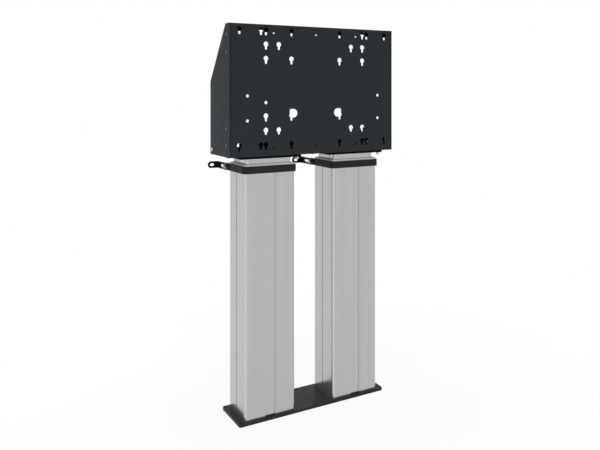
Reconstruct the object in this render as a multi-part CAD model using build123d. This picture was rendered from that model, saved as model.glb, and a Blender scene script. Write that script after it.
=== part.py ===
from build123d import *
import os
from math import hypot, sqrt

# Floor-standing lift for a flat display: two telescopic columns on one base plate carry a
# sheet-metal head box, and a belt-driven spindle in each column raises it.
# Millimetres. X is the width, -Y the front, +Z up. The origin is the middle of the base's underside.

os.makedirs("parts", exist_ok=True)

# Whole object
column_quarter_gap = 8.0
vesa_drop = 225.5
stroke = 650.0
overrun = 1.0

# Fits between pieces
assembly_gap = 0.1
sliding_gap = 0.3
running_gap = 0.05
thread_gap = 0.05

# Base plate
base_end_margin = 23.5
base_side_margin = 9.0
base_thick = 10.0
base_corner_r = 8.0
fixing_inset = 11.0
fixing_end_inset = 8.0
fixing_hole_r = 4.5
foot_tab_width = 34.0
foot_tab_height = 5.0
foot_tab_depth = 3.0

# Outer profile
outer_width = 195.0
outer_depth = 142.0
outer_wall = 5.0
outer_corner_r = 10.0
outer_length = 881.0
outer_port_r = 5.5
outer_port_hole_r = 2.5
outer_port_inset = 8.0
front_groove_shift = 15.0
side_groove_shift = 4.5
groove_width = 4.0
groove_depth = 1.5
fine_groove_width = 1.0
fine_groove_depth = 0.5
fine_groove_step = 8.0

# Inner profile
profile_gap = 6.5
inner_wall = 4.5
inner_corner_r = 8.0
inner_foot_gap = 24.0
inner_reveal = 21.0
inner_port_r = 6.0
inner_port_hole_r = 3.4
inner_port_inset = 4.5

# End cap, wiper and glide pads
cap_thick = 4.5
wiper_width = 2.6
wiper_height = 2.5
wiper_lift = 2.5
glide_height = 40.0
glide_corner_gap = 17.0
glide_middle_gap = 14.0

# Band clamp, rear strap and wall bracket
band_thick = 6.0
band_height = 25.0
band_drop = 1.0
band_reach = 21.0
strap_thick = 3.0
strap_bolt_reach = 11.5
strap_hole_r = 4.5
bracket_travel = 46.0
bracket_gap = 0.2
bracket_overlap = 9.0
bracket_reach = 82.5
bracket_flange = 41.0
bracket_thick = 3.0
bracket_bend_r = 5.0
bracket_slot_r = 4.3
wall_slot_r = 5.0
wall_slot_length = 16.0
wall_slot_inset = 16.0

# Hexagon fasteners of 8 mm
bolt_r = 4.0
bolt_head_af = 13.0
bolt_head_height = 5.3
nut_height = 6.5
bolt_tail = 4.0
bolt_end_chamfer = 1.0

# Socket-head screws of the bands
cap_screw_head_r = 6.5
cap_screw_head_height = 8.0
cap_screw_chamfer = 0.6
cap_screw_socket = 6.0
cap_screw_socket_depth = 4.0

# Countersunk screws of the base and of the inner profiles
base_screw_head_r = 6.0
base_screw_length = 26.0
top_screw_head_r = 7.5
top_screw_length = 28.0
socket_r = 2.0
socket_depth = 2.2

# Head brackets and their bolts
head_plate_margin = 21.5
head_plate_thick = 8.0
head_bolt_inset = 14.0
head_bolt_edge = 10.0
head_hole_r = 4.5

# Head box
box_width = 672.0
box_overhang = 5.0
box_rear_overhang = 16.5
box_height = 459.5
box_rear_height = 262.0
box_top_depth = 38.0
front_sheet = 2.0
side_sheet = 2.5
top_flange_depth = 30.0
lip_height = 25.0
lip_notch_height = 18.0
lip_notch_width = 35.0
lip_notch_place = 212.5
side_flange_depth = 40.0
side_return = 15.0
open_side_height = 77.0
open_side_corner_r = 20.0
bend_r = 4.0
flange_gap = 2.0

# Tray of the head box
tray_sheet = 2.5
tray_front_height = 22.0
tray_side_height = 42.0
tray_rear_height = 62.0
tray_rear_cut = 107.0
tray_cut_height = 21.0

# Screws of the side panels
panel_screw_inset = 26.0
panel_screw_edge = 39.5
panel_screw_step = 59.5
panel_bolt_height = 18.5
panel_screw_r = 3.0
panel_screw_head_r = 5.25
panel_screw_head_height = 3.0
panel_screw_head_round = 2.4
panel_hole_r = 3.3
rivet_r = 4.5
rivet_collar_r = 6.0
rivet_collar_thick = 1.0
rivet_length = 11.0

# Holes of the front plate
hole_span_600 = 600.0
hole_span_438 = 438.0
hole_span_400 = 400.0
hole_span_300 = 300.0
hole_span_200 = 200.0
key_head_r = 9.0
key_slot_r = 4.25
key_drop = 15.25
cable_hole_r = 15.5
cable_hole_shift_x = 8.5
cable_hole_shift_z = 7.2
cable_hole_corner_r = 5.0
port_span_x = 540.0
port_span_z = 86.0
port_drop = 58.0
port_hole_r = 5.5
single_hole_r = 5.75
single_hole_drop = 38.5
edge_hole_r = 4.0
edge_hole_inset = 28.5
edge_hole_place = 170.0

# Belt drive in the head of each inner profile
housing_end_gap = 12.5
housing_side_gap = 13.0
housing_height = 40.0
housing_floor = 12.0
housing_corner_r = 10.0
housing_wall = 9.0
pulley_length_share = 0.4
pulley_depth_share = 8 / 11
pulley_end_gap = 2.0
motor_end_gap = 7.0
belt_ratio = 2.0
pulley_height = 16.0
pulley_lift = 2.0
pulley_flange = 2.0
belt_width = 11.0
belt_thick = 1.6
belt_gap = 0.3
motor_share = 1.25
motor_length = 130.0
motor_neck_r = 12.0
motor_neck_height = 4.0
motor_shaft_r = 4.0
motor_shaft_depth = 20.0
bearing_r = 17.5
bearing_height = 11.0
bearing_ring = 3.5
lead_hole_r = 5.5
lead_hole_x = 24.0

# Spindle, its nut and the standing tube
spindle_r = 10.0
journal_r = 7.5
spindle_margin = 20.0
nut_tube_r = 18.0
nut_tube_wall = 4.0
nut_tube_flange_width = 64.0
nut_tube_flange_thick = 8.0
nut_top_gap = 70.0
spindle_nut_flange_r = 19.0
spindle_nut_flange_height = 10.0
spindle_nut_body = 30.0

# Control box and mains inlet
control_width = 300.0
control_side_gap = 15.0
control_height = 44.0
control_shift_x = 30.0
control_shift_y = 5.0
control_wall = 2.5
control_corner_r = 6.0
control_lid_height = 8.0
inlet_width = 28.0
inlet_height = 20.0
inlet_depth = 16.0
inlet_rim = 2.5
inlet_socket_depth = 12.0
inlet_side_gap = 30.0
inlet_pin_width = 2.0
inlet_pin_height = 4.0
inlet_pin_length = 9.0
inlet_pin_spread = 14.0
inlet_pin_drop = 2.0

# Sizes, heights and places that follow
column_pitch = box_width / 2 + 2 * column_quarter_gap
base_width = column_pitch + outer_width + 2 * base_end_margin
base_depth = outer_depth + 2 * base_side_margin
box_depth = base_depth + box_overhang + box_rear_overhang
head_plate_width = outer_width + 2 * head_plate_margin
control_depth = base_depth - 2 * (head_bolt_edge + control_side_gap)
inner_width = outer_width - 2 * (outer_wall + profile_gap)
inner_depth = outer_depth - 2 * (outer_wall + profile_gap)
glide_width = inner_width / 2 - glide_corner_gap - glide_middle_gap
glide_spread = 2 * glide_middle_gap + glide_width
housing_width = inner_width - 2 * (inner_wall + housing_end_gap)
housing_depth = inner_depth - 2 * (inner_wall + housing_side_gap)
pocket_half_x = housing_width / 2 - housing_wall
pocket_half_y = housing_depth / 2 - housing_wall
spindle_pulley_r = min(pocket_half_x * pulley_length_share, pocket_half_y * pulley_depth_share)
motor_pulley_r = spindle_pulley_r / belt_ratio
spindle_shift = pocket_half_x - pulley_end_gap - pulley_flange - spindle_pulley_r
motor_shift = pocket_half_x - motor_end_gap - pulley_flange - motor_pulley_r
motor_r = spindle_pulley_r * motor_share
outer_top = base_thick + outer_length
cap_top = outer_top + cap_thick
inner_bottom = base_thick + inner_foot_gap
inner_top = cap_top + inner_reveal
box_bottom = inner_top + head_plate_thick
box_top = box_bottom + box_height
vesa_height = box_bottom + vesa_drop
box_front = -base_depth / 2 - box_overhang
box_rear = box_front + box_depth
band_top = outer_top - band_drop
band_bottom = band_top - band_height
bore_half_x = outer_width / 2 - outer_wall
bore_half_y = outer_depth / 2 - outer_wall
band_half_x = outer_width / 2 + assembly_gap
strap_bolt_y = outer_depth / 2 + strap_bolt_reach
strap_bolt_z = band_bottom + band_height / 2
housing_top = inner_top
housing_bottom = housing_top - housing_height
nut_bottom = inner_top - nut_top_gap - spindle_nut_body
spindle_bottom = nut_bottom - spindle_nut_body - stroke - spindle_margin
hex_corner_r = bolt_head_af / sqrt(3)
lead_hole_y = -(housing_depth / 2 + inner_depth / 2 - inner_wall) / 2
sides = (("left", -1), ("right", 1))


def column_x(side):
    return side * column_pitch / 2


def plate(width, depth, corner_r, bottom, top):
    """Upright prism with rounded corners about the Z axis."""
    sketch = RectangleRounded(width, depth, corner_r)
    return Pos(0, 0, bottom) * extrude(sketch, top - bottom)


def block(x0, x1, y0, y1, z0, z1):
    """Box between two corners, given in either order."""
    size = Box(abs(x1 - x0), abs(y1 - y0), abs(z1 - z0))
    return Pos((x0 + x1) / 2, (y0 + y1) / 2, (z0 + z1) / 2) * size


def post(x, y, z0, z1, radius):
    """Upright cylinder."""
    return Pos(x, y, (z0 + z1) / 2) * Cylinder(radius, z1 - z0)


def bar_x(x0, x1, y, z, radius):
    """Cylinder along X."""
    return Pos((x0 + x1) / 2, y, z) * Rot(0, 90, 0) * Cylinder(radius, abs(x1 - x0))


def group(shapes):
    """Separate solids kept as one node."""
    solids = []
    for shape in shapes:
        solids += shape.solids()
    return Compound(children=solids)


def mirror_x(shape, side):
    """The shape as made for the left side, mirrored for the right."""
    return shape if side < 0 else mirror(shape, about=Plane.YZ)


def corners(half_x, half_y):
    return [(sx * half_x, sy * half_y) for sx in (-1, 1) for sy in (-1, 1)]


def hexagon(across_flats, z0, z1):
    sketch = RegularPolygon(across_flats / 2, 6, major_radius=False)
    return Pos(0, 0, z0) * extrude(sketch, z1 - z0)


def hex_bolt(length):
    """Bolt along +Z, with its head below zero."""
    around = post(0, 0, -bolt_head_height, 0, hex_corner_r)
    around = chamfer(around.edges().group_by(Axis.Z)[0], hex_corner_r - bolt_head_af / 2)
    shank = post(0, 0, 0, length, bolt_r)
    shank = chamfer(shank.edges().group_by(Axis.Z)[-1], bolt_end_chamfer)
    return (hexagon(bolt_head_af, -bolt_head_height, 0) & around) + shank


def cap_screw(length):
    """Socket-head screw along +Z, with its head below zero."""
    low = -cap_screw_head_height
    head = post(0, 0, low, 0, cap_screw_head_r)
    head = chamfer(head.edges().group_by(Axis.Z)[0], cap_screw_chamfer)
    shank = post(0, 0, 0, length, bolt_r)
    shank = chamfer(shank.edges().group_by(Axis.Z)[-1], bolt_end_chamfer)
    return head + shank - hexagon(cap_screw_socket, low - overrun, low + cap_screw_socket_depth)


def hex_nut():
    """Nut on the Z axis, standing on zero."""
    around = post(0, 0, 0, nut_height, hex_corner_r)
    around = chamfer(around.edges().group_by(Axis.Z)[-1], hex_corner_r - bolt_head_af / 2)
    bore = post(0, 0, -overrun, nut_height + overrun, bolt_r + thread_gap)
    return (hexagon(bolt_head_af, 0, nut_height) & around) - bore


def countersunk_screw(head_r, shank_r, length):
    """Screw along +Z, with the flat of its head at zero."""
    cone = head_r - shank_r
    head = Pos(0, 0, cone / 2) * Cone(head_r, shank_r, cone)
    socket = hexagon(socket_r * 2, -overrun, socket_depth)
    return head + post(0, 0, cone, length, shank_r) - socket


def countersink(x, y, head_r, shank_r, z_flat, up):
    """Hole with a cone, whose wide end is at z_flat and which narrows upwards when up is 1."""
    cone = head_r - shank_r
    wide = head_r + assembly_gap
    thin = shank_r + assembly_gap
    z0, z1 = sorted((z_flat, z_flat + up * cone))
    low, high = (wide, thin) if up > 0 else (thin, wide)
    return Pos(x, y, (z0 + z1) / 2) * Cone(low, high, z1 - z0)


# Places of the screw channels in the profiles
outer_ports = corners(outer_width / 2 - outer_port_inset, outer_depth / 2 - outer_port_inset)
inner_ports = corners(inner_width / 2 - inner_wall - inner_port_inset,
                      inner_depth / 2 - inner_wall - inner_port_inset)
base_screw_r = outer_port_hole_r - thread_gap
top_screw_r = inner_port_hole_r - thread_gap


def make_base_plate():
    body = plate(base_width, base_depth, base_corner_r, 0, base_thick)
    rim = base_depth / 2 - fixing_inset
    end = base_width / 2 - fixing_end_inset
    for x in (-end, 0, end):
        for y in (-rim, rim):
            body -= post(x, y, -overrun, base_thick + overrun, fixing_hole_r)
    for _, side in sides:
        for x, y in outer_ports:
            place = column_x(side) + x
            body -= post(place, y, -overrun, base_thick + overrun, base_screw_r + assembly_gap)
            body -= countersink(place, y, base_screw_head_r, base_screw_r, 0, 1)
    return body


def make_foot_tabs():
    tabs = []
    for _, side in sides:
        middle = column_x(side)
        front = -outer_depth / 2
        tabs.append(block(middle - foot_tab_width / 2, middle + foot_tab_width / 2,
                          front - foot_tab_depth, front, base_thick, base_thick + foot_tab_height))
    return group(tabs)


def make_base_screws():
    screw = countersunk_screw(base_screw_head_r, base_screw_r, base_screw_length)
    return group([Pos(column_x(side) + x, y, 0) * screw
                  for _, side in sides for x, y in outer_ports])


# Columns, each made about its own axis and then moved to its place
def make_outer_profile():
    bottom, top = base_thick, outer_top
    body = plate(outer_width, outer_depth, outer_corner_r, bottom, top)
    body -= plate(2 * bore_half_x, 2 * bore_half_y, outer_corner_r - outer_wall,
                  bottom - overrun, top + overrun)
    for x, y in outer_ports:
        body += post(x, y, bottom, top, outer_port_r) & plate(
            outer_width, outer_depth, outer_corner_r, bottom, top)
    for x, y in outer_ports:
        body -= post(x, y, bottom - overrun, top + overrun, outer_port_hole_r)
    half_x, half_y = outer_width / 2, outer_depth / 2
    for turn in (-1, 1):
        x = -turn * front_groove_shift
        body -= block(x - groove_width / 2, x + groove_width / 2, turn * (half_y - groove_depth),
                      turn * (half_y + overrun), bottom - overrun, top + overrun)
        x = -turn * (front_groove_shift + fine_groove_step)
        body -= block(x - fine_groove_width / 2, x + fine_groove_width / 2,
                      turn * (half_y - fine_groove_depth), turn * (half_y + overrun),
                      bottom - overrun, top + overrun)
        y = -turn * side_groove_shift
        body -= block(turn * (half_x - groove_depth), turn * (half_x + overrun),
                      y - groove_width / 2, y + groove_width / 2, bottom - overrun, top + overrun)
    return body


def make_inner_profile():
    bottom, top = inner_bottom, inner_top
    body = plate(inner_width, inner_depth, inner_corner_r, bottom, top)
    body -= plate(inner_width - 2 * inner_wall, inner_depth - 2 * inner_wall,
                  inner_corner_r - inner_wall, bottom - overrun, top + overrun)
    for x, y in inner_ports:
        body += post(x, y, bottom, top, inner_port_r)
    for x, y in inner_ports:
        body -= post(x, y, bottom - overrun, top + overrun, inner_port_hole_r)
    return body


def make_cap():
    body = plate(outer_width, outer_depth, outer_corner_r, outer_top, cap_top)
    body -= plate(inner_width + wiper_width, inner_depth + wiper_width,
                  inner_corner_r + wiper_width / 2, outer_top - overrun, cap_top + overrun)
    seat = 2 * (sliding_gap + wiper_width)
    body -= plate(inner_width + seat, inner_depth + seat, inner_corner_r + seat / 2,
                  cap_top - wiper_height, cap_top + overrun)
    return body


def make_wiper():
    seat = 2 * (sliding_gap + wiper_width)
    bore = 2 * sliding_gap
    top = cap_top + wiper_lift
    body = plate(inner_width + seat, inner_depth + seat, inner_corner_r + seat / 2,
                 cap_top - wiper_height, top)
    body -= plate(inner_width + bore, inner_depth + bore, inner_corner_r + bore / 2,
                  cap_top - wiper_height - overrun, top + overrun)
    return body


def make_glides(bottom, inset):
    """Six pads in the gap between the profiles; inset is how far they stand from the outer bore."""
    top = bottom + glide_height
    thick_x = bore_half_x - inner_width / 2 - sliding_gap
    thick_y = bore_half_y - inner_depth / 2 - sliding_gap
    pads = []
    outer_x, outer_y = bore_half_x - inset, bore_half_y - inset
    half = glide_width / 2
    for s in (-1, 1):
        for x in (-glide_spread / 2, glide_spread / 2):
            pads.append(block(x - half, x + half, s * (outer_y - thick_y), s * outer_y, bottom, top))
        pads.append(block(s * (outer_x - thick_x), s * outer_x, -half, half, bottom, top))
    return group(pads)


def make_band():
    """Band round the front and both sides, whose arms run on behind the column."""
    outer_x = band_half_x + band_thick
    front = -outer_depth / 2 - assembly_gap - band_thick
    rear = outer_depth / 2 + band_reach
    length = rear - front
    outline = RectangleRounded(2 * outer_x, length, outer_corner_r + band_thick + assembly_gap)
    tail = Pos(0, length / 4) * Rectangle(2 * outer_x, length / 2)
    hollow = RectangleRounded(2 * band_half_x, length, outer_corner_r + assembly_gap)
    gap = Pos(0, length / 4) * Rectangle(2 * band_half_x, length / 2 + 2 * overrun)
    sketch = (outline + tail) - Pos(0, band_thick) * hollow - Pos(0, overrun) * gap
    body = Pos(0, (front + rear) / 2, band_bottom) * extrude(sketch, band_height)
    reach = outer_x + overrun
    return body - bar_x(-reach, reach, strap_bolt_y, strap_bolt_z, strap_hole_r)


def make_rear_strap():
    """Strap across the back of the column, with an ear inside each arm of the band."""
    half = band_half_x - assembly_gap
    front = outer_depth / 2 + assembly_gap
    rear = outer_depth / 2 + band_reach
    sketch = Pos(0, (front + rear) / 2) * Rectangle(2 * half, rear - front)
    cut_front = front + strap_thick
    cut_rear = rear + overrun
    cut = Pos(0, (cut_front + cut_rear) / 2) * Rectangle(2 * (half - strap_thick), cut_rear - cut_front)
    body = Pos(0, 0, band_bottom) * extrude(sketch - cut, band_height)
    uprights = body.edges().filter_by(Axis.Z).group_by(Axis.Y)[0]
    body = fillet(uprights, strap_thick)
    return body - bar_x(-half - overrun, half + overrun, strap_bolt_y, strap_bolt_z, strap_hole_r)


strap_x = band_half_x + band_thick + bracket_gap


def make_wall_bracket():
    """L bracket on the left arm of a band, made about the column's axis."""
    inside = -strap_x
    outside = inside - bracket_thick
    tip = outside - bracket_flange + bracket_thick
    front = outer_depth / 2 - bracket_overlap
    rear = strap_bolt_y + bracket_reach
    leg = block(outside, inside, front, rear, band_bottom, band_top)
    foot = block(tip, inside, rear - bracket_thick, rear, band_bottom, band_top)
    body = leg + foot
    corner = body.edges().filter_by(Axis.Z).sort_by_distance((inside, rear, strap_bolt_z))[0]
    body = fillet(corner, bracket_bend_r)
    inner_corner = body.edges().filter_by(Axis.Z).sort_by_distance(
        (outside, rear - bracket_thick, strap_bolt_z))[0]
    body = fillet(inner_corner, bracket_bend_r - bracket_thick)
    ends = [e for e in body.edges().filter_by(Axis.Y) if abs(e.center().X - tip) < overrun]
    body = fillet(ends, band_height / 2 - assembly_gap)
    fronts = [e for e in body.edges().filter_by(Axis.X) if abs(e.center().Y - front) < overrun]
    body = fillet(fronts, band_height / 2 - assembly_gap)
    slot_front = strap_bolt_y - bracket_slot_r - assembly_gap
    slot_rear = strap_bolt_y + bracket_travel + bracket_slot_r + assembly_gap
    slot = SlotOverall(slot_rear - slot_front, 2 * bracket_slot_r, rotation=0)
    slot_solid = Pos(inside + overrun, (slot_front + slot_rear) / 2, strap_bolt_z) * (
        Plane.YZ * extrude(slot, -(bracket_thick + 2 * overrun)))
    hole = SlotOverall(wall_slot_length, 2 * wall_slot_r)
    hole_x = tip + wall_slot_inset
    hole_solid = Pos(hole_x, rear + overrun, strap_bolt_z) * (
        Plane.XZ * extrude(hole, bracket_thick + 2 * overrun))
    return body - slot_solid - hole_solid


def make_strap_bolts():
    """A screw through each arm, with its head outside and its end inside."""
    head_face = strap_x + bracket_thick + bracket_gap
    length = head_face - (band_half_x - assembly_gap - strap_thick) + nut_height + bolt_tail / 2
    bolts = []
    for _, side in sides:
        for arm in (-1, 1):
            turn = Rot(0, 90 * -arm, 0)
            place = Pos(column_x(side) + arm * head_face, strap_bolt_y, strap_bolt_z)
            bolts.append(place * turn * cap_screw(length))
    return group(bolts)


def make_strap_nuts():
    inside = band_half_x - assembly_gap - strap_thick
    nuts = []
    for _, side in sides:
        for arm in (-1, 1):
            turn = Rot(0, 90 * -arm, 0)
            place = Pos(column_x(side) + arm * inside, strap_bolt_y, strap_bolt_z)
            nuts.append(place * turn * hex_nut())
    return group(nuts)


# Head brackets on the inner profiles
head_bolts = corners(head_plate_width / 2 - head_bolt_inset, base_depth / 2 - head_bolt_edge)


def make_head_bracket():
    body = plate(head_plate_width, base_depth, base_corner_r / 2, inner_top, box_bottom)
    for x, y in head_bolts:
        body -= post(x, y, inner_top - overrun, box_bottom + overrun, head_hole_r)
    body -= post(lead_hole_x, lead_hole_y, inner_top - overrun, box_bottom + overrun, lead_hole_r)
    for x, y in inner_ports:
        body -= post(x, y, inner_top - overrun, box_bottom + overrun, top_screw_r + assembly_gap)
        body -= countersink(x, y, top_screw_head_r, top_screw_r, box_bottom, -1)
    return body


def make_profile_screws():
    screw = Rot(180, 0, 0) * countersunk_screw(top_screw_head_r, top_screw_r, top_screw_length)
    return group([Pos(column_x(side) + x, y, box_bottom) * screw
                  for _, side in sides for x, y in inner_ports])


def make_bracket_bolts():
    length = tray_sheet + head_plate_thick + nut_height + bolt_tail
    bolt = Rot(180, 0, 0) * hex_bolt(length)
    return group([Pos(column_x(side) + x, y, box_bottom + tray_sheet) * bolt
                  for _, side in sides for x, y in head_bolts])


def make_bracket_nuts():
    return group([Pos(column_x(side) + x, y, inner_top - nut_height) * hex_nut()
                  for _, side in sides for x, y in head_bolts])


# Head box
def keyhole(x, z):
    """Round entry with a slot below it, drawn with X across and Y up."""
    slot = Pos(x, z - key_drop / 2) * Rectangle(2 * key_slot_r, key_drop)
    return Pos(x, z) * Circle(key_head_r) + slot + Pos(x, z - key_drop) * Circle(key_slot_r)


def front_holes():
    """All cut-outs of the front plate, with X across and the display's centre at zero."""
    rows = (
        (hole_span_400 / 2, (hole_span_600, hole_span_438, hole_span_400, hole_span_200)),
        (hole_span_300 / 2, (hole_span_400, hole_span_300)),
        (hole_span_200 / 2, (hole_span_400, hole_span_200)),
        (-hole_span_300 / 2, (hole_span_400, hole_span_300)),
        (-hole_span_400 / 2, (hole_span_600, hole_span_438, hole_span_400, hole_span_200)),
    )
    holes = keyhole(-hole_span_400 / 2, key_drop - hole_span_200 / 2)
    for z, spans in rows:
        for span in spans:
            for s in (-1, 1):
                holes += keyhole(s * span / 2, z + key_drop)
    low_z = key_drop - hole_span_200 / 2
    for s in (-1, 1):
        holes += keyhole(s * hole_span_200 / 2, low_z)
        x = s * (hole_span_200 / 2 - cable_hole_shift_x)
        z = low_z + cable_hole_shift_z
        square = Pos(x + s * cable_hole_r / 2, z + cable_hole_r / 2) * Rectangle(cable_hole_r, cable_hole_r)
        upper = square.vertices().group_by(Axis.Y)[-1].sort_by(Axis.X)
        square = fillet(upper[0] if s < 0 else upper[-1], cable_hole_corner_r)
        holes += Pos(x, z) * Circle(cable_hole_r) + square
        for z in (-port_drop - port_span_z / 2, -port_drop + port_span_z / 2):
            holes += Pos(s * port_span_x / 2, z) * Circle(port_hole_r)
    holes += Pos(-hole_span_400 / 2, -single_hole_drop) * Circle(single_hole_r)
    for x in (-edge_hole_place, 0, edge_hole_place):
        for z in (edge_hole_inset - vesa_drop, box_height - edge_hole_inset - vesa_drop):
            holes += Pos(x, z) * Circle(edge_hole_r)
    return holes


plate_half = box_width / 2 - side_sheet
flange_top = box_top - lip_height - flange_gap
screw_heights = (box_bottom + panel_screw_edge, box_bottom + panel_screw_edge + panel_screw_step,
                 box_top - panel_screw_edge - panel_screw_step, box_top - panel_screw_edge)
screw_y = box_front + panel_screw_inset
panel_bolt_y = box_rear - panel_screw_inset
panel_bolt_z = box_bottom + panel_bolt_height


def front_outline(depth):
    """Plan of the front plate and whatever lies behind it, with its two front corners bent."""
    sketch = Pos(0, box_front + depth / 2) * Rectangle(2 * plate_half, depth)
    return fillet(sketch.vertices().group_by(Axis.Y)[0], bend_r)


def folded_sheet(depth, bottom, top):
    """Front plate with side flanges of the given depth."""
    inside = Rectangle(2 * (plate_half - front_sheet), depth)
    inside = Pos(0, box_front + front_sheet + depth / 2) * inside
    inside = fillet(inside.vertices().group_by(Axis.Y)[0], bend_r - front_sheet)
    return Pos(0, 0, bottom) * extrude(front_outline(depth) - inside, top - bottom)


def top_fold():
    """Top flange with its hanging lip, and the stretch of front plate before it."""
    low = box_top - lip_height
    outside = Pos(top_flange_depth / 2, lip_height / 2) * Rectangle(top_flange_depth, lip_height)
    outside = fillet(outside.vertices().group_by(Axis.Y)[-1], bend_r)
    width = top_flange_depth - 2 * front_sheet
    height = lip_height - front_sheet
    inside = Pos(top_flange_depth / 2, height / 2) * Rectangle(width, height)
    inside = fillet(inside.vertices().group_by(Axis.Y)[-1], bend_r - front_sheet)
    fold = Pos(-plate_half, box_front, low) * (Plane.YZ * extrude(outside - inside, 2 * plate_half))
    return fold & (Pos(0, 0, low) * extrude(front_outline(top_flange_depth), lip_height))


def make_front_plate():
    rear = box_front + front_sheet
    lip_rear = box_front + top_flange_depth
    body = folded_sheet(side_flange_depth, box_bottom, flange_top)
    body += folded_sheet(bend_r, flange_top, box_top - lip_height)
    body += top_fold()
    for s in (-1, 1):
        x = s * lip_notch_place
        body -= block(x - lip_notch_width / 2, x + lip_notch_width / 2, rear + overrun,
                      lip_rear + overrun, box_top - lip_height - overrun, box_top - lip_notch_height)
        for z in screw_heights:
            body -= bar_x(s * (plate_half + overrun), s * (plate_half - front_sheet - overrun),
                          screw_y, z, rivet_r + assembly_gap)
    cut = Pos(0, rear + overrun, vesa_height) * (
        Plane.XZ * extrude(front_holes(), front_sheet + 2 * overrun))
    return body - cut


def panel_outline(inset):
    """Corners of the side panel as (y, z); inset moves the rear and the slope inwards."""
    slope_y = box_front + box_top_depth
    slope_z = box_bottom + box_rear_height
    run_y, run_z = slope_y - box_rear, box_top - slope_z
    reach = hypot(run_y, run_z)
    rear = box_rear - inset
    # The inset slope crosses the inset rear line here
    low_z = slope_z + inset * (reach - run_z) / run_y
    high_z = box_top + (overrun if inset else 0.0)
    high_y = rear + run_y * (high_z - low_z) / run_z
    front = box_front - (overrun if inset else 0.0)
    bottom = box_bottom - (overrun if inset else 0.0)
    return [(front, bottom), (rear, bottom), (rear, low_z), (high_y, high_z), (front, high_z)]


def panel_prism(inset, x0, x1):
    sketch = make_face(Polyline(*panel_outline(inset), close=True))
    return Pos(x0, 0, 0) * (Plane.YZ * extrude(sketch, x1 - x0))


def make_side_panel():
    """Left side panel with folds inwards along its rear and its slope."""
    outside = -box_width / 2
    body = panel_prism(0, outside, outside + side_return)
    body -= panel_prism(side_sheet, outside + side_sheet, outside + side_return + overrun)
    for z in screw_heights:
        body -= bar_x(outside - overrun, outside + side_sheet + overrun, screw_y, z, panel_hole_r)
    body -= bar_x(outside - overrun, outside + side_sheet + overrun, panel_bolt_y, panel_bolt_z,
                  bolt_r + assembly_gap)
    return body


def make_open_side_panel():
    """The side panel cut away above its foot and behind its front strip, for access."""
    low = box_bottom + open_side_height
    width, height = box_depth - side_flange_depth + overrun, box_height - open_side_height + overrun
    window = Pos(box_front + side_flange_depth + width / 2, low + height / 2) * Rectangle(width, height)
    inner = window.vertices().group_by(Axis.Y)[0].sort_by(Axis.X)[0]
    window = fillet(inner, open_side_corner_r)
    outside = -box_width / 2 - overrun
    return make_side_panel() - Pos(outside, 0, 0) * (
        Plane.YZ * extrude(window, side_return + 2 * overrun))


def make_panel_screws():
    """Button-head screws with a socket, heads on the side panels."""
    screws = []
    length = side_sheet + rivet_length - 2 * rivet_collar_thick
    for _, side in sides:
        for z in screw_heights:
            low = -panel_screw_head_height
            head = post(0, 0, low, 0, panel_screw_head_r)
            head = fillet(head.edges().group_by(Axis.Z)[0], panel_screw_head_round)
            screw = head + post(0, 0, 0, length, panel_screw_r)
            screw -= hexagon(2 * socket_r, low - overrun, low + socket_depth)
            screws.append(Pos(side * box_width / 2, screw_y, z) * Rot(0, -90 * side, 0) * screw)
    return group(screws)


def make_rivet_nuts():
    """Threaded inserts in the side flanges of the front plate."""
    nuts = []
    for _, side in sides:
        for z in screw_heights:
            nut = post(0, 0, 0, rivet_length, rivet_r)
            nut += post(0, 0, front_sheet, front_sheet + rivet_collar_thick, rivet_collar_r)
            nut -= post(0, 0, -overrun, rivet_length + overrun, panel_screw_r + thread_gap)
            nuts.append(Pos(side * plate_half, screw_y, z) * Rot(0, -90 * side, 0) * nut)
    return group(nuts)


def make_tray():
    front = box_front + front_sheet
    rear = box_rear - side_sheet - flange_gap
    floor_top = box_bottom + tray_sheet
    half = plate_half - assembly_gap
    narrow = plate_half - front_sheet - flange_gap
    step_y = box_front + side_flange_depth + flange_gap
    body = block(-half, half, step_y, rear, box_bottom, floor_top)
    body += block(-narrow, narrow, front, step_y, box_bottom, floor_top)
    body += block(-narrow, narrow, front, front + tray_sheet, box_bottom, box_bottom + tray_front_height)
    body += block(-half, half, rear - tray_sheet, rear, box_bottom, box_bottom + tray_cut_height)
    body += block(-half + tray_rear_cut, half, rear - tray_sheet, rear, box_bottom,
                  box_bottom + tray_rear_height)
    for s in (-1, 1):
        body += block(s * half, s * (half - tray_sheet), step_y, rear, box_bottom,
                      box_bottom + tray_side_height)
        body -= bar_x(s * (half + overrun), s * (half - tray_sheet - overrun),
                      panel_bolt_y, panel_bolt_z, bolt_r + assembly_gap)
    for _, side in sides:
        for x, y in head_bolts:
            body -= post(column_x(side) + x, y, box_bottom - overrun, floor_top + overrun, head_hole_r)
        body -= post(column_x(side) + lead_hole_x, lead_hole_y, box_bottom - overrun,
                     floor_top + overrun, lead_hole_r)
    return body


def make_side_bolts():
    length = side_sheet + assembly_gap + tray_sheet + nut_height + bolt_tail / 2
    place = Pos(0, panel_bolt_y, panel_bolt_z)
    return group([place * Pos(side * box_width / 2, 0, 0) * Rot(0, -90 * side, 0) * hex_bolt(length)
                  for _, side in sides])


def make_side_nuts():
    inside = plate_half - assembly_gap - tray_sheet
    place = Pos(0, panel_bolt_y, panel_bolt_z)
    return group([place * Pos(side * inside, 0, 0) * Rot(0, -90 * side, 0) * hex_nut()
                  for _, side in sides])


# Belt drive, made about the column's axis
pulley_bottom = housing_bottom + housing_floor + pulley_lift
pulley_top = pulley_bottom + pulley_height
belt_bottom = pulley_bottom + (pulley_height - belt_width) / 2


def belt_outline(extra):
    """Hull of both pulleys, grown by extra."""
    return make_hull((Pos(-spindle_shift, 0) * Circle(spindle_pulley_r + extra)).edges()
                     + (Pos(motor_shift, 0) * Circle(motor_pulley_r + extra)).edges())


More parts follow.
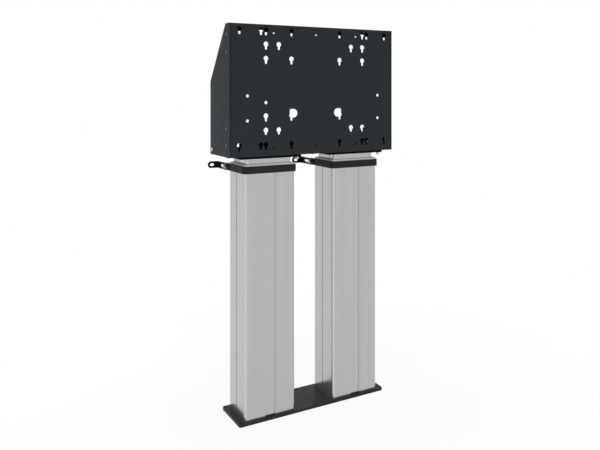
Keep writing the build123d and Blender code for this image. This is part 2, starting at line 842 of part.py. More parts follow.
def make_housing():
    top, bottom = housing_top, housing_bottom
    body = plate(housing_width, housing_depth, housing_corner_r, bottom, top)
    pocket = plate(2 * pocket_half_x, 2 * pocket_half_y, housing_corner_r / 2,
                   bottom + housing_floor, top + overrun)
    body -= pocket
    seat = bottom + housing_floor - bearing_height
    body -= post(-spindle_shift, 0, seat, top, bearing_r)
    body -= post(-spindle_shift, 0, bottom - overrun, top, bearing_r - bearing_ring)
    body -= post(motor_shift, 0, bottom - overrun, top, motor_neck_r + assembly_gap)
    return body


def make_motor():
    top = housing_bottom
    body = post(motor_shift, 0, top - motor_length, top, motor_r)
    body = fillet(body.edges().group_by(Axis.Z)[0], bend_r)
    body += post(motor_shift, 0, top, top + motor_neck_height, motor_neck_r)
    return body - post(motor_shift, 0, top - motor_shaft_depth, top + motor_neck_height + overrun,
                       motor_shaft_r + running_gap)


def pulley(radius, bore_r):
    """Flanged pulley on the Z axis between its own heights."""
    body = post(0, 0, pulley_bottom, pulley_top, radius)
    flange = (pulley_height - belt_width) / 2 - sliding_gap
    body += post(0, 0, pulley_bottom, pulley_bottom + flange, radius + pulley_flange)
    body += post(0, 0, pulley_top - flange, pulley_top, radius + pulley_flange)
    return body - post(0, 0, pulley_bottom - overrun, pulley_top + overrun, bore_r)


def make_spindle_pulley():
    return Pos(-spindle_shift, 0, 0) * pulley(spindle_pulley_r, journal_r)


def make_motor_pulley():
    """Pulley in one piece with the shaft that runs down into the motor."""
    shaft_bottom = housing_bottom - motor_shaft_depth + overrun
    body = pulley(motor_pulley_r, motor_shaft_r) + post(0, 0, shaft_bottom, pulley_top, motor_shaft_r)
    return Pos(motor_shift, 0, 0) * body


def make_belt():
    sketch = belt_outline(belt_gap + belt_thick) - belt_outline(belt_gap)
    return Pos(0, 0, belt_bottom) * extrude(sketch, belt_width)


def make_bearing():
    """Outer race of the spindle's bearing."""
    seat = housing_bottom + housing_floor - bearing_height
    body = post(-spindle_shift, 0, seat, seat + bearing_height, bearing_r - assembly_gap)
    return body - post(-spindle_shift, 0, seat - overrun, seat + bearing_height + overrun,
                       journal_r + running_gap)


def make_spindle():
    shoulder = housing_bottom + housing_floor - bearing_height - sliding_gap
    body = post(-spindle_shift, 0, spindle_bottom, shoulder, spindle_r)
    body += post(-spindle_shift, 0, shoulder, pulley_top, journal_r)
    return body


def make_nut_tube():
    top = nut_bottom
    half = nut_tube_flange_width / 2
    flange_top = base_thick + nut_tube_flange_thick
    body = post(-spindle_shift, 0, base_thick, top, nut_tube_r)
    body += block(-spindle_shift - half, -spindle_shift + half, -half, half, base_thick, flange_top)
    return body - post(-spindle_shift, 0, base_thick - overrun, top + overrun, nut_tube_r - nut_tube_wall)


def make_spindle_nut():
    top = nut_bottom + spindle_nut_flange_height
    low = nut_bottom - spindle_nut_body
    body = post(-spindle_shift, 0, nut_bottom, top, spindle_nut_flange_r)
    body += post(-spindle_shift, 0, low, nut_bottom, nut_tube_r - nut_tube_wall - assembly_gap)
    return body - post(-spindle_shift, 0, low - overrun, top + overrun, spindle_r + running_gap)


# Control box on the tray
control_bottom = box_bottom + tray_sheet
control_left = control_shift_x - control_width / 2
inlet_y = control_shift_y + control_depth / 2 - inlet_side_gap
inlet_z = control_bottom + control_height / 2


def make_control_box():
    top = control_bottom + control_height
    body = Pos(control_shift_x, control_shift_y, 0) * (
        plate(control_width, control_depth, control_corner_r, control_bottom, top)
        - plate(control_width - 2 * control_wall, control_depth - 2 * control_wall,
                control_corner_r - control_wall, control_bottom + control_wall, top + overrun))
    return body - block(control_left - overrun, control_left + inlet_depth,
                        inlet_y - inlet_width / 2, inlet_y + inlet_width / 2,
                        inlet_z - inlet_height / 2, inlet_z + inlet_height / 2)


def make_control_lid():
    low = control_bottom + control_height
    body = plate(control_width, control_depth, control_corner_r, low, low + control_lid_height)
    body = fillet(body.edges().group_by(Axis.Z)[-1], control_wall)
    return Pos(control_shift_x, control_shift_y, 0) * body


def make_inlet():
    """Recessed mains inlet with three pins, in the left end of the control box."""
    half_y, half_z = inlet_width / 2, inlet_height / 2
    floor_x = control_left + inlet_socket_depth
    body = block(control_left, control_left + inlet_depth, inlet_y - half_y, inlet_y + half_y,
                 inlet_z - half_z, inlet_z + half_z)
    body -= block(control_left - overrun, floor_x, inlet_y - half_y + inlet_rim,
                  inlet_y + half_y - inlet_rim, inlet_z - half_z + inlet_rim, inlet_z + half_z - inlet_rim)
    for turn in (-1, 0, 1):
        y = inlet_y + turn * inlet_pin_spread / 2
        z = inlet_z - inlet_pin_drop if turn else inlet_z + inlet_pin_drop
        body += block(floor_x - inlet_pin_length, floor_x, y - inlet_pin_width / 2,
                      y + inlet_pin_width / 2, z - inlet_pin_height / 2, z + inlet_pin_height / 2)
    return body


def save(shape, node):
    export_step(shape, "parts/" + node + ".step")


save(make_base_plate(), "base_plate")
save(make_foot_tabs(), "foot_tabs")
save(make_base_screws(), "base_screws")
save(make_strap_bolts(), "strap_bolts")
save(make_strap_nuts(), "strap_nuts")
save(make_profile_screws(), "profile_screws")
save(make_bracket_bolts(), "bracket_bolts")
save(make_bracket_nuts(), "bracket_nuts")
save(make_front_plate(), "front_plate")
save(make_panel_screws(), "panel_screws")
save(make_rivet_nuts(), "rivet_nuts")
save(make_tray(), "tray")
save(make_side_bolts(), "side_bolts")
save(make_side_nuts(), "side_nuts")
save(make_control_box(), "control_box")
save(make_control_lid(), "control_box_lid")
save(make_inlet(), "mains_inlet")

save(make_side_panel(), "side_panel_left")
save(mirror_x(make_open_side_panel(), 1), "side_panel_right")

column_pieces = {
    "outer_profile": make_outer_profile(),
    "column_cap": make_cap(),
    "wiper_seal": make_wiper(),
    "upper_glides": make_glides(outer_top - glide_height, 0),
    "lower_glides": make_glides(inner_bottom, sliding_gap),
    "band_clamp": make_band(),
    "rear_strap": make_rear_strap(),
    "inner_profile": make_inner_profile(),
    "head_bracket": make_head_bracket(),
    "drive_housing": make_housing(),
    "motor": make_motor(),
    "motor_pulley": make_motor_pulley(),
    "spindle_pulley": make_spindle_pulley(),
    "drive_belt": make_belt(),
    "spindle_bearing": make_bearing(),
    "spindle": make_spindle(),
    "nut_tube": make_nut_tube(),
    "spindle_nut": make_spindle_nut(),
}
for side_name, side_sign in sides:
    for piece_name, piece in column_pieces.items():
        save(Pos(column_x(side_sign), 0, 0) * piece, piece_name + "_" + side_name)
    bracket = make_wall_bracket()
    for arm_name, arm_sign in sides:
        save(Pos(column_x(side_sign), 0, 0) * mirror_x(bracket, arm_sign),
             "wall_bracket_" + side_name + "_column_" + arm_name)
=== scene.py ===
from math import cos, pi, radians, sin, sqrt, tau

import bmesh
import bpy
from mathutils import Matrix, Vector


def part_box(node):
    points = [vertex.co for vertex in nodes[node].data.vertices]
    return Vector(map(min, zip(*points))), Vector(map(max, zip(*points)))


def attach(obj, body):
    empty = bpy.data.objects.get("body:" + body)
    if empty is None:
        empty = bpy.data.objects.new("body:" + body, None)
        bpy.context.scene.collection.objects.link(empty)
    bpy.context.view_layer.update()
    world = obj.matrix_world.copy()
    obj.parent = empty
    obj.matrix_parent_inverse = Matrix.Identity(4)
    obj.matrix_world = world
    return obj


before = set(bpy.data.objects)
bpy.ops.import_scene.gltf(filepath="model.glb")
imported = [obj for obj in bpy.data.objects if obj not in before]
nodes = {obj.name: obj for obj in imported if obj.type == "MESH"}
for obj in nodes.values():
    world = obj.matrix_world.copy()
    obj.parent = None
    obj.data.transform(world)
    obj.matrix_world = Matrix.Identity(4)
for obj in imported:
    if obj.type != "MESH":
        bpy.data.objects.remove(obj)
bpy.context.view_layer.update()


def pair(name):
    """Names of the left and the right one of two like pieces."""
    return [f"{name}_left", f"{name}_right"]


def grey(value):
    return (value, value, value)


# Surface effects, each a node group that the finishes place
def effect(name, inputs, outputs, normals=()):
    """An empty shader group with number inputs and outputs, and perhaps a normal among the outputs."""
    group = bpy.data.node_groups.new(name, "ShaderNodeTree")
    for label, value in inputs:
        socket = group.interface.new_socket(label, in_out="INPUT", socket_type="NodeSocketFloat")
        socket.default_value = value
    for label in outputs:
        group.interface.new_socket(label, in_out="OUTPUT", socket_type="NodeSocketFloat")
    for label in normals:
        group.interface.new_socket(label, in_out="OUTPUT", socket_type="NodeSocketVector")
    return group, group.nodes.new("NodeGroupInput"), group.nodes.new("NodeGroupOutput")


def feed(tree, value, socket):
    """Give a socket a number, or link another socket to it."""
    if isinstance(value, (int, float)):
        socket.default_value = value
    else:
        tree.links.new(value, socket)


def maths(tree, operation, first, second=0.0):
    """A Math node; first and second are sockets or numbers."""
    node = tree.nodes.new("ShaderNodeMath")
    node.operation = operation
    feed(tree, first, node.inputs[0])
    feed(tree, second, node.inputs[1])
    return node.outputs[0]


def spread(tree, value, low, high, to_low=0.0, to_high=1.0):
    """Value from low to high mapped on to_low to to_high, and held there."""
    node = tree.nodes.new("ShaderNodeMapRange")
    for label, number in (("From Min", low), ("From Max", high), ("To Min", to_low), ("To Max", to_high)):
        feed(tree, number, node.inputs[label])
    tree.links.new(value, node.inputs["Value"])
    return node.outputs["Result"]


def stretched_place(tree, scale):
    """Place on the piece in metres, multiplied along each axis."""
    place = tree.nodes.new("ShaderNodeTexCoord")
    mapping = tree.nodes.new("ShaderNodeMapping")
    mapping.inputs["Scale"].default_value = scale
    tree.links.new(place.outputs["Object"], mapping.inputs["Vector"])
    return mapping.outputs["Vector"]


def split_axes(tree, kind):
    """X, Y and Z of the place on the piece, kind Object, or of the surface's direction, kind Normal."""
    place = tree.nodes.new("ShaderNodeTexCoord")
    axes = tree.nodes.new("ShaderNodeSeparateXYZ")
    tree.links.new(place.outputs[kind], axes.inputs["Vector"])
    return axes.outputs


def noise(tree, vector, scale=1.0, detail=3.0, rough=0.55):
    """Cloudy noise over a place; scale is a socket or a number."""
    node = tree.nodes.new("ShaderNodeTexNoise")
    node.inputs["Detail"].default_value = detail
    node.inputs["Roughness"].default_value = rough
    feed(tree, scale, node.inputs["Scale"])
    tree.links.new(vector, node.inputs["Vector"])
    return node.outputs["Fac"]


def make_grain():
    """Pimpled skin of a powder coat or a moulding, and a tone in broader clouds."""
    group, source, result = effect("fine_grain", [("Scale", 1500.0)], ["Height", "Tone"])
    tone_share = 0.25
    place = stretched_place(group, (1.0, 1.0, 1.0))
    group.links.new(noise(group, place, source.outputs["Scale"]), result.inputs["Height"])
    tone_scale = maths(group, "MULTIPLY", source.outputs["Scale"], tone_share)
    group.links.new(noise(group, place, tone_scale, detail=2.0), result.inputs["Tone"])
    return group


def make_draw_lines():
    """Lines that a drawing die leaves along the columns: fine ones in height, broad ones in tone."""
    group, source, result = effect("draw_lines", [("Scale", 1.0)], ["Height", "Tone"])
    fine_stretch = (1100.0, 1100.0, 1.5)
    broad_stretch = (110.0, 110.0, 0.5)
    fine = noise(group, stretched_place(group, fine_stretch), source.outputs["Scale"], detail=2.0)
    broad = noise(group, stretched_place(group, broad_stretch), source.outputs["Scale"])
    group.links.new(fine, result.inputs["Height"])
    group.links.new(spread(group, broad, low=0.3, high=0.7), result.inputs["Tone"])
    return group


def make_handling():
    """Soft smudges and a few thin scuffs from handling."""
    group, source, result = effect("handling_marks", [("Amount", 0.5)], ["Smudge", "Scuff"])
    smudge_stretch = (9.0, 9.0, 6.0)
    streak_stretch = (22.0, 90.0, 260.0)
    patch_stretch = (7.0, 7.0, 11.0)
    smudge = noise(group, stretched_place(group, smudge_stretch), detail=4.0, rough=0.6)
    streak = noise(group, stretched_place(group, streak_stretch), rough=0.7)
    patch = noise(group, stretched_place(group, patch_stretch), detail=1.0)
    thin = spread(group, streak, low=0.66, high=0.74)
    scuff = maths(group, "MULTIPLY", thin, spread(group, patch, low=0.52, high=0.7))
    for label, mark in (("Smudge", smudge), ("Scuff", scuff)):
        group.links.new(maths(group, "MULTIPLY", mark, source.outputs["Amount"]), result.inputs[label])
    return group


def make_floor_dust():
    """Dust that settles low down, densest at the floor."""
    group, source, result = effect("floor_dust", [("Reach", 0.05)], ["Dust"])
    patch_stretch = (30.0, 30.0, 30.0)
    height = split_axes(group, "Object")["Z"]
    low = spread(group, height, low=0.0, high=source.outputs["Reach"], to_low=1.0, to_high=0.0)
    patch = noise(group, stretched_place(group, patch_stretch), detail=4.0)
    group.links.new(maths(group, "MULTIPLY", low, patch), result.inputs["Dust"])
    return group


def make_edge_rub():
    """Edges that hands and tools have rubbed: a mask along them, and their slightly rounded normal."""
    group, source, result = effect("edge_rub", [("Radius", 0.0008)], ["Rub"], ["Normal"])
    patch_stretch = (70.0, 70.0, 70.0)
    rounded = group.nodes.new("ShaderNodeBevel")
    rounded.samples = 4
    group.links.new(source.outputs["Radius"], rounded.inputs["Radius"])
    surface = group.nodes.new("ShaderNodeNewGeometry")
    agree = group.nodes.new("ShaderNodeVectorMath")
    agree.operation = "DOT_PRODUCT"
    group.links.new(rounded.outputs["Normal"], agree.inputs[0])
    group.links.new(surface.outputs["Normal"], agree.inputs[1])
    edge = spread(group, agree.outputs["Value"], low=0.8, high=0.99, to_low=1.0, to_high=0.0)
    patch = noise(group, stretched_place(group, patch_stretch), detail=4.0, rough=0.65)
    worn = spread(group, patch, low=0.44, high=0.62)
    group.links.new(maths(group, "MULTIPLY", edge, worn), result.inputs["Rub"])
    group.links.new(rounded.outputs["Normal"], result.inputs["Normal"])
    return group


def make_painted_corner_highlight():
    """Painted highlight on the rounded upright corners of an extrusion: paler where the surface faces
    diagonally between X and Y.
    """
    group, source, result = effect("painted_corner_highlight", [("Amount", 1.0)], ["Polish"])
    direction = split_axes(group, "Normal")
    across = maths(group, "MULTIPLY", direction["X"], direction["Y"])
    turned = spread(group, maths(group, "ABSOLUTE", across), low=0.05, high=0.4)
    group.links.new(maths(group, "MULTIPLY", turned, source.outputs["Amount"]), result.inputs["Polish"])
    return group


def make_thread():
    """Turns of a screw thread along Z, as heights from 0 to 1."""
    group, source, result = effect("thread_turns", [("Pitch", 0.00125)], ["Height"])
    turns = maths(group, "DIVIDE", split_axes(group, "Object")["Z"], source.outputs["Pitch"])
    ridge = maths(group, "PINGPONG", turns, 0.5)
    group.links.new(maths(group, "MULTIPLY", ridge, 2.0), result.inputs["Height"])
    return group


grain = make_grain()
draw_lines = make_draw_lines()
handling = make_handling()
floor_dust = make_floor_dust()
edge_rub = make_edge_rub()
painted_corner_highlight = make_painted_corner_highlight()
thread_turns = make_thread()


# Finishes
def placed(tree, group, **values):
    """Outputs of an effect that is placed in a material with its own values."""
    node = tree.nodes.new("ShaderNodeGroup")
    node.node_tree = group
    for label, value in values.items():
        node.inputs[label].default_value = value
    return node.outputs


def new_finish(name, roughness, metallic=0.0, specular=0.5):
    material = bpy.data.materials.new(name)
    material.use_nodes = True
    tree = material.node_tree
    shader = tree.nodes["Principled BSDF"]
    shader.inputs["Roughness"].default_value = roughness
    shader.inputs["Metallic"].default_value = metallic
    shader.inputs["Specular IOR Level"].default_value = specular
    return material, tree, shader


def mix_colours(tree, factor):
    """A colour mix by a factor from 0 to 1."""
    node = tree.nodes.new("ShaderNodeMix")
    node.data_type = "RGBA"
    tree.links.new(factor, node.inputs["Factor"])
    return node


def shade(tree, factor, low, high):
    """Colour between two colours."""
    node = mix_colours(tree, factor)
    node.inputs["A"].default_value = (*low, 1.0)
    node.inputs["B"].default_value = (*high, 1.0)
    return node.outputs["Result"]


def tint(tree, factor, under, colour):
    """Under, with colour laid over it by factor."""
    node = mix_colours(tree, factor)
    tree.links.new(under, node.inputs["A"])
    node.inputs["B"].default_value = (*colour, 1.0)
    return node.outputs["Result"]


def relief(tree, shader, height, depth, edges):
    """Bump over the rounded edges' normal."""
    node = tree.nodes.new("ShaderNodeBump")
    node.inputs["Distance"].default_value = depth
    tree.links.new(height, node.inputs["Height"])
    tree.links.new(edges["Normal"], node.inputs["Normal"])
    tree.links.new(node.outputs["Normal"], shader.inputs["Normal"])


def uneven_gloss(tree, shader, mask, at_low, at_high, low=0.0, high=0.4):
    """Roughness that goes from at_low to at_high as the mask goes from low to high."""
    tree.links.new(spread(tree, mask, low, high, at_low, at_high), shader.inputs["Roughness"])


def coated_steel(name, dark, light, roughness, specular=0.15, wear=0.35):
    """Powder coat on sheet steel, with smudges, thin scuffs and rubbed edges."""
    scuffed = (0.05, 0.053, 0.057)
    skin_depth = 0.00012
    material, tree, shader = new_finish(name, roughness, specular=specular)
    skin = placed(tree, grain, Scale=1400.0)
    marks = placed(tree, handling, Amount=wear)
    edges = placed(tree, edge_rub, Radius=0.0008)
    colour = shade(tree, skin["Tone"], dark, light)
    colour = tint(tree, marks["Scuff"], colour, scuffed)
    colour = tint(tree, maths(tree, "MULTIPLY", edges["Rub"], wear), colour, scuffed)
    tree.links.new(colour, shader.inputs["Base Color"])
    uneven_gloss(tree, shader, marks["Smudge"], roughness - 0.07, roughness + 0.08)
    relief(tree, shader, skin["Height"], skin_depth, edges)
    return material


def moulded_plastic(name, dark, light, roughness, grain_scale=2200.0, depth=0.00004, specular=0.4):
    """Moulding with a fine eroded skin, a little smoother where it is handled."""
    material, tree, shader = new_finish(name, roughness, specular=specular)
    skin = placed(tree, grain, Scale=grain_scale)
    marks = placed(tree, handling, Amount=0.4)
    edges = placed(tree, edge_rub, Radius=0.0005)
    tree.links.new(shade(tree, skin["Tone"], dark, light), shader.inputs["Base Color"])
    uneven_gloss(tree, shader, marks["Smudge"], roughness - 0.05, roughness + 0.08)
    relief(tree, shader, skin["Height"], depth, edges)
    return material


def plain_metal(name, dark, light, roughness, grain_scale=500.0, depth=0.00002, rubbed=(0.72, 0.72, 0.71)):
    """Bare or plated metal with a cloudy tone and brighter edges."""
    rubbed_share = 0.5
    material, tree, shader = new_finish(name, roughness, metallic=1.0)
    skin = placed(tree, grain, Scale=grain_scale)
    marks = placed(tree, handling, Amount=0.5)
    edges = placed(tree, edge_rub, Radius=0.0004)
    colour = shade(tree, skin["Tone"], dark, light)
    colour = tint(tree, maths(tree, "MULTIPLY", edges["Rub"], rubbed_share), colour, rubbed)
    tree.links.new(colour, shader.inputs["Base Color"])
    uneven_gloss(tree, shader, marks["Smudge"], roughness - 0.06, roughness + 0.1, high=0.5)
    relief(tree, shader, skin["Height"], depth, edges)
    return material


def anodised(name, dark, light, roughness):
    """Satin anodised extrusion: draw lines along Z, a painted highlight on the corners, a few faint rubs,
    dust at its foot.
    """
    painted_highlight = grey(0.6)
    scuffed = grey(0.52)
    dusty = (0.36, 0.35, 0.33)
    scuffed_share = 0.4
    dusty_share = 0.15
    line_depth = 0.00001
    material, tree, shader = new_finish(name, roughness, metallic=0.93, specular=0.2)
    lines = placed(tree, draw_lines, Scale=1.0)
    marks = placed(tree, handling, Amount=0.3)
    dust = placed(tree, floor_dust, Reach=0.04)
    edges = placed(tree, edge_rub, Radius=0.0005)
    corners = placed(tree, painted_corner_highlight, Amount=0.7)
    colour = shade(tree, lines["Tone"], dark, light)
    # Painted highlight: corners that face between X and Y are tinted paler, standing in for the reflection
    # that runs down them.
    colour = tint(tree, corners["Polish"], colour, painted_highlight)
    colour = tint(tree, maths(tree, "MULTIPLY", marks["Scuff"], scuffed_share), colour, scuffed)
    colour = tint(tree, maths(tree, "MULTIPLY", dust["Dust"], dusty_share), colour, dusty)
    tree.links.new(colour, shader.inputs["Base Color"])
    uneven_gloss(tree, shader, marks["Smudge"], roughness - 0.03, roughness + 0.05, low=0.05, high=0.25)
    relief(tree, shader, lines["Height"], line_depth, edges)
    return material


def threaded_metal(name, dark, light, roughness, pitch, depth):
    """Rolled screw, duller in the roots of its thread."""
    material, tree, shader = new_finish(name, roughness, metallic=1.0)
    skin = placed(tree, grain, Scale=900.0)
    turns = placed(tree, thread_turns, Pitch=pitch)
    edges = placed(tree, edge_rub, Radius=0.0004)
    tree.links.new(shade(tree, skin["Tone"], dark, light), shader.inputs["Base Color"])
    uneven_gloss(tree, shader, turns["Height"], roughness + 0.15, roughness - 0.05, high=1.0)
    relief(tree, shader, turns["Height"], depth, edges)
    return material


finishes = {
    "head": coated_steel("head_black_coat", (0.0187, 0.0234, 0.027), (0.0227, 0.028, 0.0318), 0.42,
                         specular=0.05),
    # The head brackets get a blacker copy of the head's black coat: painted shade for the shade under the
    # head.
    "under": coated_steel("head_bracket_painted_shade_coat", (0.001, 0.001, 0.0012), (0.002, 0.002, 0.0022), 0.6,
                          specular=0.04),
    "base": coated_steel("base_plate_coat", (0.021, 0.021, 0.024), (0.03, 0.03, 0.034), 0.26, specular=0.06,
                         wear=0.6),
    "band": coated_steel("band_black_coat", grey(0.019), grey(0.024), 0.4, specular=0.03),
    "arm": coated_steel("wall_bracket_coat", (0.003, 0.003, 0.0032), (0.006, 0.006, 0.0064), 0.3, wear=0.8),
    "column": anodised("column_anodised", (0.453, 0.454, 0.455), (0.481, 0.482, 0.483), 0.2),
    "inner": anodised("sliding_profile_anodised", (0.445, 0.446, 0.447), (0.48, 0.481, 0.482), 0.2),
    "cap": moulded_plastic("cap_grey_plastic", grey(0.58), grey(0.66), 0.4),
    "wiper": moulded_plastic("wiper_lip_rubber", grey(0.56), grey(0.62), 0.6),
    "glide": moulded_plastic("glide_pad_plastic", (0.72, 0.71, 0.67), (0.8, 0.79, 0.75), 0.4),
    "box": moulded_plastic("control_box_plastic", (0.012, 0.012, 0.013), (0.022, 0.022, 0.023), 0.5,
                           grain_scale=1600.0, depth=0.00008),
    "lens": moulded_plastic("status_lens_plastic", (0.05, 0.3, 0.12), (0.08, 0.4, 0.17), 0.15, specular=0.5),
    "inlet": moulded_plastic("mains_inlet_plastic", grey(0.006), grey(0.012), 0.3),
    "zinc": plain_metal("zinc_plating", (0.52, 0.53, 0.54), (0.66, 0.66, 0.65), 0.3),
    "dull_zinc": plain_metal("dull_zinc_plating", (0.13, 0.13, 0.135), grey(0.2), 0.45),
    "screw": plain_metal("blackened_screw_steel", (0.03, 0.03, 0.031), grey(0.06), 0.4, rubbed=grey(0.3)),
    "cast": plain_metal("housing_cast_aluminium", grey(0.5), grey(0.62), 0.55, grain_scale=260.0,
                        depth=0.00012),
    "motor": coated_steel("motor_can_paint", (0.01, 0.01, 0.011), (0.018, 0.018, 0.019), 0.4, specular=0.4),
    "pulley": plain_metal("pulley_steel", (0.45, 0.45, 0.46), (0.56, 0.56, 0.57), 0.36),
    "belt": moulded_plastic("drive_belt_rubber", grey(0.014), grey(0.022), 0.8),
    "tube": plain_metal("bright_tube_steel", (0.5, 0.5, 0.51), (0.6, 0.6, 0.61), 0.3),
    "spindle": threaded_metal("rolled_spindle_steel", (0.5, 0.5, 0.51), (0.62, 0.62, 0.63), 0.25,
                              pitch=0.008, depth=0.0015),
    "brass": plain_metal("spindle_nut_brass", (0.55, 0.38, 0.15), (0.66, 0.47, 0.2), 0.35,
                         rubbed=(0.8, 0.62, 0.3)),
}

finish_of_nodes = {
    "head": ["front_plate", "tray", *pair("side_panel")],
    "under": pair("head_bracket"),
    "base": ["base_plate", "foot_tabs"],
    "band": pair("band_clamp") + pair("rear_strap"),
    "arm": pair("wall_bracket_left_column") + pair("wall_bracket_right_column"),
    "column": pair("outer_profile"),
    "inner": pair("inner_profile"),
    "cap": pair("column_cap"),
    "wiper": pair("wiper_seal"),
    "glide": pair("upper_glides") + pair("lower_glides"),
    "box": ["control_box", "control_box_lid"],
    "inlet": ["mains_inlet"],
    "zinc": ["bracket_bolts", "bracket_nuts", "strap_bolts", "strap_nuts", "side_bolts", "side_nuts",
             "rivet_nuts"],
    "dull_zinc": ["panel_screws"],
    "screw": ["base_screws", "profile_screws"],
    "cast": pair("drive_housing"),
    "motor": pair("motor"),
    "pulley": pair("motor_pulley") + pair("spindle_pulley"),
    "belt": pair("drive_belt"),
    "tube": pair("nut_tube") + pair("spindle_bearing"),
    "spindle": pair("spindle"),
    "brass": pair("spindle_nut"),
}
for finish, names in finish_of_nodes.items():
    for name in names:
        for slot in nodes[name].material_slots:
            slot.material = finishes[finish]


# Fittings on the control box lid
def add_ring(bm, points, before):
    """A loop of points joined to the loop before it, or closed by a face where it is the first."""
    ring = [bm.verts.new(point) for point in points]
    if before is None:
        bm.faces.new(reversed(ring))
        return ring
    for index in range(len(ring)):
        following = (index + 1) % len(ring)
        bm.faces.new((before[index], before[following], ring[following], ring[index]))
    return ring


def add_rib(bm, x, y, z, length, half_width, height):
    """A low half-round rib along Y with tapered ends, its foot sunk a little into the lid."""
    stations = 15
    arc_steps = 8
    end_share = 0.02
    bluntness = 8
    sunk = height / 4
    turns = [pi * step / arc_steps for step in range(arc_steps + 1)]
    ring = None
    for station in range(stations):
        along = -cos(pi * station / (stations - 1))
        swell = sqrt(max(1 - along ** bluntness, 0.0)) * (1 - end_share) + end_share
        section = [(half_width * swell * cos(turn), height * swell * sin(turn)) for turn in turns]
        section += [(-half_width * swell, -sunk), (half_width * swell, -sunk)]
        points = [(x + across, y + along * length / 2, z + up) for across, up in section]
        ring = add_ring(bm, points, ring)
    bm.faces.new(ring)


def add_turned(bm, x, y, z, profile):
    """A small turned head on an upright axis: rows of radius, height and how deep the key's lobes cut in."""
    lobes = 4
    steps = 48
    lobe_sharpness = 3
    turns = [tau * step / steps for step in range(steps)]
    ring = None
    for radius, height, lobing in profile:
        points = []
        for turn in turns:
            cut = lobing * (1 - abs(cos(lobes * turn / 2)) ** lobe_sharpness)
            reach = radius * (1 - cut)
            points.append((x + reach * cos(turn), y + reach * sin(turn), z + height))
        ring = add_ring(bm, points, ring)
    bm.faces.new(ring)


def new_piece(name, bm, finish, smooth):
    """A piece of the lifting head from a finished bmesh."""
    bmesh.ops.recalc_face_normals(bm, faces=bm.faces)
    mesh = bpy.data.meshes.new(name)
    bm.to_mesh(mesh)
    bm.free()
    for face in mesh.polygons:
        face.use_smooth = smooth
    piece = bpy.data.objects.new(name, mesh)
    bpy.context.scene.collection.objects.link(piece)
    mesh.materials.append(finishes[finish])
    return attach(piece, "lifting_head")


lid_low, lid_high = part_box("control_box_lid")
lid_middle = (lid_low + lid_high) / 2
lid_top = lid_high.z

rib_count = 13
rib_pitch = 0.008
rib_length = 0.07
rib_half_width = 0.0016
rib_height = 0.0012
ribs = bmesh.new()
for index in range(rib_count):
    rib_x = lid_middle.x + (index - (rib_count - 1) / 2) * rib_pitch
    add_rib(ribs, rib_x, lid_middle.y, lid_top, rib_length, rib_half_width, rib_height)
new_piece("lid_cooling_ribs", ribs, "box", smooth=True)

screw_inset = 0.010
screw_profile = [(0.0031, -0.0006, 0), (0.0031, 0.0006, 0), (0.0026, 0.0012, 0), (0.0019, 0.0014, 0.4),
                 (0.0018, 0.0005, 0.4), (0.0004, 0.0004, 0)]
lid_screws = bmesh.new()
for x in (lid_low.x + screw_inset, lid_high.x - screw_inset):
    for y in (lid_low.y + screw_inset, lid_high.y - screw_inset):
        add_turned(lid_screws, x, y, lid_top, screw_profile)
new_piece("lid_screws", lid_screws, "dull_zinc", smooth=False)

lamp_side_inset = 0.03
lamp_rear_inset = 0.022
lens_profile = [(0.0024, -0.0005, 0), (0.0024, 0.0004, 0), (0.0021, 0.0009, 0), (0.0013, 0.0012, 0),
                (0.0003, 0.0013, 0)]
ring_profile = [(0.0036, -0.0005, 0), (0.0036, 0.0005, 0), (0.0032, 0.0008, 0), (0.0028, 0.0005, 0),
                (0.0026, -0.0002, 0)]
for name, profile, finish in (("status_lamp_lens", lens_profile, "lens"),
                              ("status_lamp_ring", ring_profile, "inlet")):
    turned = bmesh.new()
    add_turned(turned, lid_low.x + lamp_side_inset, lid_high.y - lamp_rear_inset, lid_top, profile)
    new_piece(name, turned, finish, smooth=True)


# Camera, level, at the front left, with its picture shifted down from the horizon
camera_data = bpy.data.cameras.new("camera")
camera_data.sensor_width = 36.0
camera_data.lens = 40.67
camera_data.shift_x = -0.03355
camera_data.shift_y = -0.2264
camera_data.clip_end = 50.0
camera = bpy.data.objects.new("camera", camera_data)
bpy.context.scene.collection.objects.link(camera)
camera.location = (-1.2098, -2.2252, 1.1583)
camera.rotation_euler = (radians(90), 0, radians(-29.82))
bpy.context.scene.camera = camera


# Studio: floor, world and lamps
def seen_as_white(tree):
    """1 for the rays that show the studio itself: straight to the camera, mirrored or through glass."""
    path = tree.nodes.new("ShaderNodeLightPath")
    mirrored = maths(tree, "MAXIMUM", path.outputs["Is Glossy Ray"], path.outputs["Is Transmission Ray"])
    return maths(tree, "MAXIMUM", path.outputs["Is Camera Ray"], mirrored)


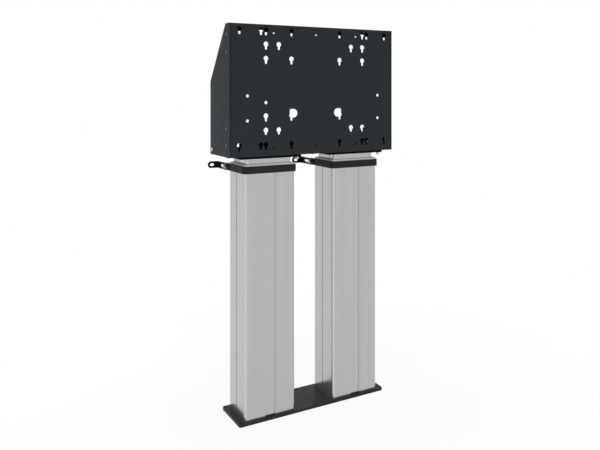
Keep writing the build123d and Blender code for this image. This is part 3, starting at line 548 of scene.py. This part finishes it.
def make_floor():
    """Pale floor that keeps a faint shadow near the object and fades to white further out."""
    edge = 12.0
    drop = 0.0002
    shadow_reach = 0.5
    white_reach = 1.3
    white_share = 0.9
    mesh = bpy.data.meshes.new("studio_floor")
    corners = [(-edge, -edge, 0), (edge, -edge, 0), (edge, edge, 0), (-edge, edge, 0)]
    mesh.from_pydata(corners, [], [(0, 1, 2, 3)])
    floor = bpy.data.objects.new("studio_floor", mesh)
    bpy.context.scene.collection.objects.link(floor)
    material = bpy.data.materials.new("studio_white")
    material.use_nodes = True
    tree = material.node_tree
    shader = tree.nodes["Principled BSDF"]
    shader.inputs["Base Color"].default_value = (*grey(0.9), 1)
    shader.inputs["Roughness"].default_value = 0.8
    place = tree.nodes.new("ShaderNodeTexCoord")
    reach = tree.nodes.new("ShaderNodeVectorMath")
    reach.operation = "LENGTH"
    tree.links.new(place.outputs["Object"], reach.inputs[0])
    fade = spread(tree, reach.outputs["Value"], low=shadow_reach, high=white_reach, to_low=white_share)
    glow = tree.nodes.new("ShaderNodeEmission")
    mix = tree.nodes.new("ShaderNodeMixShader")
    tree.links.new(maths(tree, "MULTIPLY", seen_as_white(tree), fade), mix.inputs["Fac"])
    tree.links.new(shader.outputs["BSDF"], mix.inputs[1])
    tree.links.new(glow.outputs["Emission"], mix.inputs[2])
    tree.links.new(mix.outputs["Shader"], tree.nodes["Material Output"].inputs["Surface"])
    mesh.materials.append(material)
    floor.location.z = -drop


def make_world():
    """White to look at, and a little dimmer as light."""
    light_strength = 0.62
    world = bpy.data.worlds.new("studio_world")
    bpy.context.scene.world = world
    world.use_nodes = True
    tree = world.node_tree
    sky = tree.nodes["Background"]
    sky.inputs["Color"].default_value = (*grey(1), 1)
    strength = spread(tree, seen_as_white(tree), low=0.0, high=1.0, to_low=light_strength)
    tree.links.new(strength, sky.inputs["Strength"])


def add_lamp(name, place, target, width, height, power, mirrored=True):
    """A rectangular softbox at a place, turned to a target; mirrored ones show in glossy surfaces."""
    data = bpy.data.lights.new(name, "AREA")
    data.shape = "RECTANGLE"
    data.size = width
    data.size_y = height
    data.energy = power
    lamp = bpy.data.objects.new(name, data)
    bpy.context.scene.collection.objects.link(lamp)
    lamp.location = place
    lamp.rotation_euler = (Vector(target) - Vector(place)).to_track_quat("-Z", "Y").to_euler()
    lamp.visible_glossy = mirrored


make_floor()
make_world()
add_lamp("front_softbox", (-0.6, -3.4, 0.9), (0, 0, 0.5), width=2.4, height=1.4, power=25, mirrored=False)
add_lamp("low_front_softbox", (-0.5, -1.2, 0.1), (0, 0, 0.03), width=1.4, height=0.2, power=3.9,
         mirrored=False)
add_lamp("left_softbox", (-3.2, -0.9, 1.6), (0, 0, 0.8), width=1.6, height=2.4, power=0.8)
add_lamp("top_softbox", (0.4, -0.2, 3.4), (0, 0, 0.8), width=2.2, height=2.2, power=22)
add_lamp("low_left_softbox", (-0.9, 1.2, 0.25), (0, 0, 0.1), width=1.0, height=0.4, power=9.0,
         mirrored=False)

bpy.context.scene.view_settings.view_transform = "Standard"
